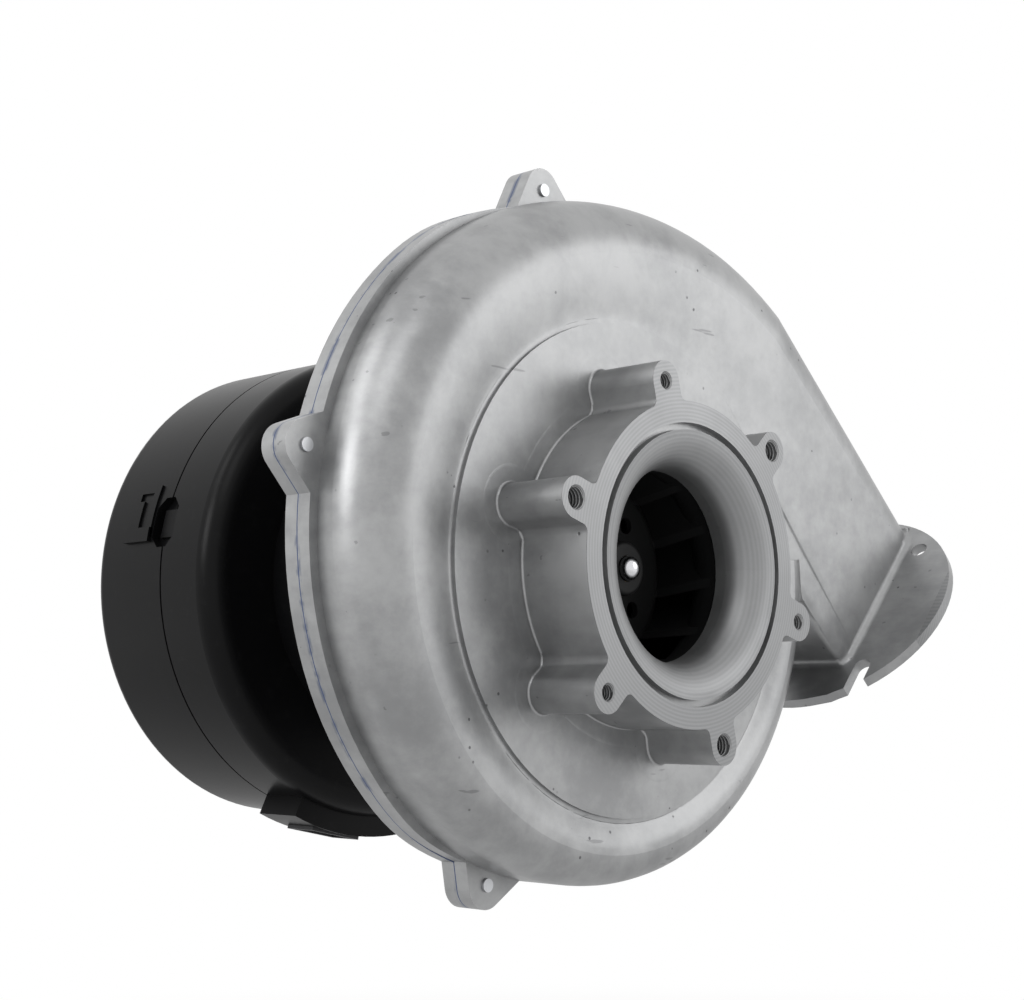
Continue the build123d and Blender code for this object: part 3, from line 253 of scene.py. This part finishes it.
finishes = {
    "cast_metal": castMetal(),
    "sealant": rubber("blueSealant", (0.03, 0.06, 0.16), 0.4),
    "zinc_steel": steel("zincSteel", (0.62, 0.63, 0.65), 0.24),
    "seal_rubber": rubber("sealRubber", (0.004, 0.004, 0.004), 0.7),
    "damper_rubber": rubber("damperRubber", (0.03, 0.03, 0.03), 0.65),
    "motor_black": moulded("motorBlack", (0.005, 0.005, 0.0055), 0.34, 0.8, 0.03, sheen=0.1),
    "spring_steel": steel("springSteel", (0.4, 0.4, 0.41), 0.3),
    "bearing_steel": steel("bearingSteel", (0.6, 0.6, 0.61), 0.18),
    "ball_steel": steel("ballSteel", (0.8, 0.8, 0.82), 0.08),
    "cage_plastic": moulded("cagePlastic", (0.3, 0.2, 0.08), 0.5),
    "lamination": lamination(),
    "insulator_plastic": moulded("insulatorPlastic", (0.7, 0.7, 0.64), 0.5),
    "copper": copperWire(),
    "shaft_steel": steel("shaftSteel", (0.78, 0.78, 0.8), 0.12, 1.5),
    "spacer_brass": steel("spacerBrass", (0.7, 0.52, 0.22), 0.28),
    "magnet": moulded("magnetCoat", (0.1, 0.1, 0.11), 0.3),
    "impeller_plastic": moulded("impellerPlastic", (0.012, 0.0122, 0.0125), 0.45, 0.6, 0.04, sheen=0.15),
    "shroud_plastic": moulded("shroudPlastic", (0.01, 0.0102, 0.0105), 0.42, 0.6, 0.04, sheen=0.15),
    "drum_plastic": moulded("drumPlastic", (0.0042, 0.0042, 0.0046), 0.28, 0.5, 0.03, sheen=0.11),
    "board": lacqueredBoard(),
    "capacitor_sleeve": moulded("capacitorSleeve", (0.02, 0.02, 0.07), 0.25),
    "ferrite": moulded("ferrite", (0.06, 0.06, 0.062), 0.6),
    "chip_black": moulded("chipBlack", (0.02, 0.02, 0.021), 0.5),
    "sink_aluminium": steel("sinkAluminium", (0.6, 0.6, 0.61), 0.35),
    "socket_plastic": moulded("socketPlastic", (0.03, 0.03, 0.032), 0.4, sheen=0.3),
    "pin_brass": steel("pinBrass", (0.75, 0.6, 0.3), 0.2),
}
slotOf = {part["node"]: part["material_slot"] for part in frame["record"]["subparts"]}
for name, node in nodes.items():
    finish = finishes[slotOf[name]]
    for slot in node.material_slots:
        slot.link = "OBJECT"
        slot.material = finish


def keep(name, mesh, slot, body="housing"):
    piece = bpy.data.objects.new(name, mesh)
    bpy.context.scene.collection.objects.link(piece)
    piece.data.materials.append(finishes[slot])
    for face in piece.data.polygons:
        face.use_smooth = True
    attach(piece, body)
    return piece


def polar(radius, angle, depth):
    turn = math.radians(angle)
    return Vector((radius * math.cos(turn), depth, radius * math.sin(turn))) * mm


def tube(bm, points, radii, sides=8, closed=False):
    rings = []
    count = len(points)
    for i, point in enumerate(points):
        before = points[i - 1] if i or closed else points[0]
        after = points[(i + 1) % count] if i < count - 1 or closed else points[-1]
        ahead = (after - before).normalized()
        across = ahead.cross(Vector((0, 1, 0)))
        if across.length < 0.01:
            across = ahead.cross(Vector((1, 0, 0)))
        across.normalize()
        up = across.cross(ahead)
        ring = []
        for k in range(sides):
            turn = 2 * math.pi * k / sides
            ring.append(bm.verts.new(point + radii[i] * (across * math.cos(turn) + up * math.sin(turn))))
        rings.append(ring)
    for i in range(count if closed else count - 1):
        first, second = rings[i], rings[(i + 1) % count]
        for k in range(sides):
            bm.faces.new((first[k], first[(k + 1) % sides], second[(k + 1) % sides], second[k]))
    if not closed:
        bm.faces.new(rings[0][::-1])
        bm.faces.new(rings[-1])


def toMesh(bm, name):
    mesh = bpy.data.meshes.new(name)
    bmesh.ops.recalc_face_normals(bm, faces=bm.faces)
    bm.to_mesh(mesh)
    bm.free()
    return mesh


print("sealant")

# Sealant that was squeezed out of the seam: it follows the outline of the CAD gasket and swells and thins
squeeze = {"rim": 53.0, "depth": 53.2, "step": 1.6, "thin": 0.12, "thick": 0.55, "base": 0.45,
           "patch": 26.0, "ripple": 260.0}


def onRim(edge, depth):
    # At this depth, between a flat face and a wall
    level = all(abs(v.co.y - depth * mm) < near * 2 for v in edge.verts)
    slants = [abs(face.normal.y) for face in edge.link_faces]
    return level and len(slants) == 2 and min(slants) < 0.3 < max(slants)


def outerLoop(node, depth):
    # Longest closed line of rim edges
    bm = bmesh.new()
    bm.from_mesh(nodes[node].data)
    bmesh.ops.remove_doubles(bm, verts=bm.verts, dist=near)
    rim = [e for e in bm.edges if onRim(e, depth)]
    links = {}
    for e in rim:
        for v, w in (e.verts, reversed(e.verts)):
            links.setdefault(v.index, []).append(w)
    loops = []
    left = {v.index: v for e in rim for v in e.verts}
    while left:
        index, start = next(iter(left.items()))
        loop = [start]
        del left[index]
        while True:
            ways = [w for w in links[loop[-1].index] if w.index in left]
            if not ways:
                break
            loop.append(ways[0])
            del left[ways[0].index]
        loops.append([v.co.copy() for v in loop])
    bm.free()
    return max(loops, key=lambda l: sum((l[i] - l[i - 1]).length for i in range(len(l))))


def evenly(loop, step):
    points = []
    carried = 0.0
    for i, point in enumerate(loop):
        last = loop[i - 1]
        span = (point - last).length
        while carried < span:
            points.append(last.lerp(point, carried / span))
            carried += step * mm
        carried -= span
    return points


seamLine = evenly(outerLoop("casing_sealant", squeeze["rim"]), squeeze["step"])
bm = bmesh.new()
beads = []
for point in seamLine:
    patch = noise.noise(point / (squeeze["patch"] * mm)) * 0.6
    ripple = noise.noise(point * squeeze["ripple"]) * 0.4
    full = max(0.0, min(1.0, patch + ripple + squeeze["base"]))
    beads.append((squeeze["thin"] + (squeeze["thick"] - squeeze["thin"]) * full) * mm)
middle = [Vector((p.x, squeeze["depth"] * mm, p.z)) for p in seamLine]
tube(bm, middle, beads, 8, closed=True)
keep("sealantBead", toMesh(bm, "sealantBead"), "sealant")

print("casing skin")

# The casting's skin, in millimetres: a crisp crease instead of the CAD's fillet where neck and lugs meet
# the plateau. Half is how far the fillet's middle stands from either wall
lugs = {"count": 6, "circle": 58.25, "start": 43.6, "apart": 60}
skinForm = {"neck": 51.6, "lug": 6.4, "inner": 20, "soft": 2.5, "crease": 0.45, "fillet": 6.0,
            "half": 1.757, "plateau": 26.3, "reach": 75.0, "probe": 0.02, "slack": (-0.3, 0.1)}


def outsideNeck(x, z):
    # How far a spot lies outside the outline of the neck and its lugs
    gap = math.hypot(x, z) - skinForm["neck"]
    soft = skinForm["soft"]
    for lug in range(lugs["count"]):
        turn = math.radians(lugs["start"] + lugs["apart"] * lug)
        along = x * math.cos(turn) + z * math.sin(turn)
        across = z * math.cos(turn) - x * math.sin(turn)
        if along > skinForm["inner"]:
            stem = math.hypot(max(along - lugs["circle"], 0), across) - skinForm["lug"]
            gap = max(soft, min(gap, stem)) - math.hypot(max(soft - gap, 0), max(soft - stem, 0))
    return gap


def awayFromNeck(x, z):
    h = skinForm["probe"]
    way = Vector((outsideNeck(x + h, z) - outsideNeck(x - h, z), 0,
                  outsideNeck(x, z + h) - outsideNeck(x, z - h)))
    return way.normalized()


def sharpFoot(mesh):
    # Pulls the fillet into its corner, and gives the new normal of each vertex that it moved
    normals = {}
    fillet, crease, plateau, half = (skinForm[key] for key in ("fillet", "crease", "plateau", "half"))
    grow = (fillet - crease) / (fillet - half)
    under, over = skinForm["slack"]
    for v in mesh.vertices:
        x, y, z = v.co / mm
        if not plateau - fillet - 0.02 < y < plateau - 0.005 or math.hypot(x, z) > skinForm["reach"]:
            continue
        gap = outsideNeck(x, z)
        if not under < gap < fillet + over:
            continue
        away = awayFromNeck(x, z)
        turn = math.atan2(y - plateau + fillet, fillet - gap)
        out = 0.0
        drop = 0.0
        if turn < math.pi / 4:
            drop = crease + (fillet * (1 - math.sin(turn)) - half) * grow
            normals[v.index] = away
        else:
            out = crease + (fillet * (1 - math.cos(turn)) - half) * grow
            normals[v.index] = Vector((0, -1, 0))
        moved = away * (out - gap)
        v.co = Vector((x + moved.x, plateau - drop, z + moved.z)) * mm
    return normals


# A low step round the plateau and a soft valley before the crest, in depths from the inlet face
valley = {"edge": (79.98, 80.02), "crest": 25.0, "floor": 30.3, "fall": 2.2, "bend": 2.8}


def softValley(mesh, normals):
    # Raises the valley's floor and tilts the normals of its corners to suit
    depths = {}
    crest, fall, bend = valley["crest"], valley["fall"], valley["bend"]
    span = valley["floor"] - crest
    inner, outer = valley["edge"]
    for loop in mesh.loops:
        x, y, z = mesh.vertices[loop.vertex_index].co / mm
        radius = math.hypot(x, z)
        if radius < inner or not crest < y < valley["floor"] + 0.02:
            continue
        normal = normals[loop.index]
        outward = (normal.x * x + normal.z * z) / radius
        left = max(0.0, 1 - (y - crest) / span)
        onWall = radius < outer and outward > 0.5 and y > skinForm["plateau"] + 0.01
        onFloor = normal.y < -0.2 and outward <= 0.02
        if onWall or onFloor:
            depths[loop.vertex_index] = crest + fall * (1 - left ** bend)
        if onFloor:
            slope = fall * bend / span * left ** (bend - 1)
            normals[loop.index] = Vector((slope * normal.x, normal.y, slope * normal.z)).normalized()
    # Vertices that lie on one spot move together, so that no crack opens
    spots = {tuple(round(c, 6) for c in mesh.vertices[index].co): depth for index, depth in depths.items()}
    for v in mesh.vertices:
        spot = tuple(round(c, 6) for c in v.co)
        if spot in spots:
            v.co.y = spots[spot] * mm


casingMesh = nodes["front_casing"].data.copy()
cornerNormals = [corner.vector.copy() for corner in casingMesh.corner_normals]
footNormals = sharpFoot(casingMesh)
softValley(casingMesh, cornerNormals)
for loop in casingMesh.loops:
    if loop.vertex_index in footNormals:
        cornerNormals[loop.index] = footNormals[loop.vertex_index]
casingMesh.materials.clear()
casingSkin = keep("frontCasing", casingMesh, "cast_metal")
casingMesh.normals_split_custom_set(cornerNormals)
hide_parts("front_casing")

print("threads")

# Screw threads inside the lug holes, large and small in turn
threads = {"mouth": 0.7, "length": 11.9, "wire": 0.24, "points": 20,
           "large": {"radius": 3.34, "pitch": 1.25}, "small": {"radius": 2.44, "pitch": 1.0}}
bm = bmesh.new()
for lug in range(lugs["count"]):
    kind = threads["small" if lug % 2 else "large"]
    centre = polar(lugs["circle"], lugs["start"] + lugs["apart"] * lug, 0)
    helix = []
    for i in range(int(threads["length"] / kind["pitch"]) * threads["points"] + 1):
        turns = i / threads["points"]
        helix.append(centre + polar(kind["radius"], 360 * turns, threads["mouth"] + kind["pitch"] * turns))
    tube(bm, helix, [threads["wire"] * mm] * len(helix), 5)
keep("lugThreads", toMesh(bm, "lugThreads"), "cast_metal")

print("latch guides")

# Raised guide with a hooked slot behind each latch pocket, and the small step under it. Rows are angles
# from the pocket's middle, columns are depths
guides = {"angles": (167.0, 47.0, 327.0), "radius": 84.75, "height": 0.8, "sunk": 0.4, "fine": 4,
          "rows": [-9.5, -7.6, -5.6, 1.4, 3.4], "columns": [174.2, 177.6, 182.0, 184.6, 187.4],
          "slot": [(1, 1), (1, 2), (2, 1)],
          "step": {"rows": [1.2, 4.6], "columns": [174.2, 188.6], "height": 1.5}}


def raised(bm, rows, columns, height, skip=()):
    # Curved plate over a grid of angles and depths, with the skipped cells left open
    shape = {}
    fine = guides["fine"]
    for i in range((len(rows) - 1) * fine + 1):
        row = rows[i // fine]
        after = rows[min(i // fine + 1, len(rows) - 1)]
        turn = row + (after - row) * (i % fine) / fine
        for j, depth in enumerate(columns):
            shape[i, j] = bm.verts.new(polar(guides["radius"] + height, turn, depth))
    faces = []
    for i in range((len(rows) - 1) * fine):
        for j in range(len(columns) - 1):
            if (i // fine, j) not in skip:
                corners = (shape[i, j], shape[i + 1, j], shape[i + 1, j + 1], shape[i, j + 1])
                faces.append(bm.faces.new(corners))
    grown = bmesh.ops.extrude_face_region(bm, geom=faces)["geom"]
    for vert in [g for g in grown if isinstance(g, bmesh.types.BMVert)]:
        flat = Vector((vert.co.x, 0, vert.co.z))
        vert.co -= flat.normalized() * (height + guides["sunk"]) * mm


bm = bmesh.new()
step = guides["step"]
for angle in guides["angles"]:
    raised(bm, [angle + row for row in guides["rows"]], guides["columns"], guides["height"], guides["slot"])
    raised(bm, [angle + row for row in step["rows"]], step["columns"], step["height"])
bmesh.ops.remove_doubles(bm, verts=bm.verts, dist=near)
bmesh.ops.delete(bm, geom=[v for v in bm.verts if not v.link_faces], context="VERTS")
guidePlates = keep("latchGuides", toMesh(bm, "latchGuides"), "drum_plastic")
for face in guidePlates.data.polygons:
    face.use_smooth = False

print("camera and light")

# Focus and width are in pixels of the photo
view = {"place": (-0.4351, -0.3377, -0.0421), "right": (0.692, -0.722, 0.0),
        "back": (-0.717, -0.688, -0.113), "focus": 1750.0, "width": 1024.0}
back = Vector(view["back"]).normalized()
right = Vector(view["right"]).normalized()
up = back.cross(right).normalized()
right = up.cross(back).normalized()
eye = bpy.data.cameras.new("eye")
eye.sensor_width = 36.0
eye.lens = view["focus"] / view["width"] * 36.0
eye.clip_start = 0.01
camera = bpy.data.objects.new("eye", eye)
turned = Matrix((right, up, back)).transposed().to_4x4()
camera.matrix_world = Matrix.Translation(Vector(view["place"])) @ turned
bpy.context.scene.collection.objects.link(camera)
bpy.context.scene.camera = camera
bpy.context.scene.view_settings.view_transform = "Standard"

aim = Vector((0, 0.05, 0))
lamps = {
    "front": {"place": (0.72, -0.78, 0.35), "size": 0.6, "power": 2.1},
    "side": {"place": (-1.05, 0.3, 0.4), "size": 0.4, "power": 2.8},
    "key": {"place": (-0.7, -0.3, 0.85), "size": 0.5, "power": 1.5},
    "back": {"place": (-0.75, 0.45, 0.85), "size": 0.4, "power": 1.5},
}
for name, lamp in lamps.items():
    light = bpy.data.lights.new(name, "AREA")
    light.energy = lamp["power"]
    light.size = lamp["size"]
    holder = bpy.data.objects.new(name, light)
    holder.location = lamp["place"]
    holder.rotation_euler = (aim - holder.location).to_track_quat("-Z", "Y").to_euler()
    bpy.context.scene.collection.objects.link(holder)

# White room: the lens and mirrors see plain white, and other rays a softer sky
sky = {"white": 1.0, "soft": 0.35}
world = bpy.data.worlds.new("room")
world.use_nodes = True
bpy.context.scene.world = world
tree = world.node_tree
tree.nodes.clear()
path = tree.nodes.new("ShaderNodeLightPath")
seen = path.outputs["Is Camera Ray"]
for ray in ("Is Glossy Ray", "Is Transmission Ray"):
    either = tree.nodes.new("ShaderNodeMath")
    either.operation = "MAXIMUM"
    tree.links.new(seen, either.inputs[0])
    tree.links.new(path.outputs[ray], either.inputs[1])
    seen = either.outputs[0]
bright = tree.nodes.new("ShaderNodeMapRange")
bright.inputs["To Min"].default_value = sky["soft"]
bright.inputs["To Max"].default_value = sky["white"]
tree.links.new(seen, bright.inputs["Value"])
air = tree.nodes.new("ShaderNodeBackground")
air.inputs["Color"].default_value = (1, 1, 1, 1)
tree.links.new(bright.outputs["Result"], air.inputs["Strength"])
end = tree.nodes.new("ShaderNodeOutputWorld")
tree.links.new(air.outputs[0], end.inputs["Surface"])

# Pale floor, which fades to plain white away from the shadow
floorLook = {"height": -0.36, "half": 14.0, "fadeFrom": 0.7, "fadeTo": 1.5, "glow": 0.45,
             "matt": (0.86, 0.86, 0.86, 1)}
bm = bmesh.new()
half = floorLook["half"]
bm.faces.new([bm.verts.new((x, y, floorLook["height"]))
              for x, y in ((-half, -half), (half, -half), (half, half), (-half, half))])
floor = bpy.data.objects.new("paleFloor", toMesh(bm, "paleFloor"))
bpy.context.scene.collection.objects.link(floor)
f = Finish("paleFloor")
x, y, z = f.axes()
far = f.maths("SQRT", x * x + y * y)
away = f.step(far, floorLook["fadeFrom"], floorLook["fadeTo"], floorLook["glow"])
matt = f.node("ShaderNodeBsdfDiffuse", {}, {"Color": floorLook["matt"]})
glow = f.node("ShaderNodeEmission", {}, {"Color": (1, 1, 1, 1), "Strength": 1.0})
shown = f.node("ShaderNodeMixShader", {}, {0: away, 1: matt, 2: glow})
end = f.tree.nodes.new("ShaderNodeOutputMaterial")
f.tree.links.new(shown.socket, end.inputs["Surface"])
floor.data.materials.append(f.material)
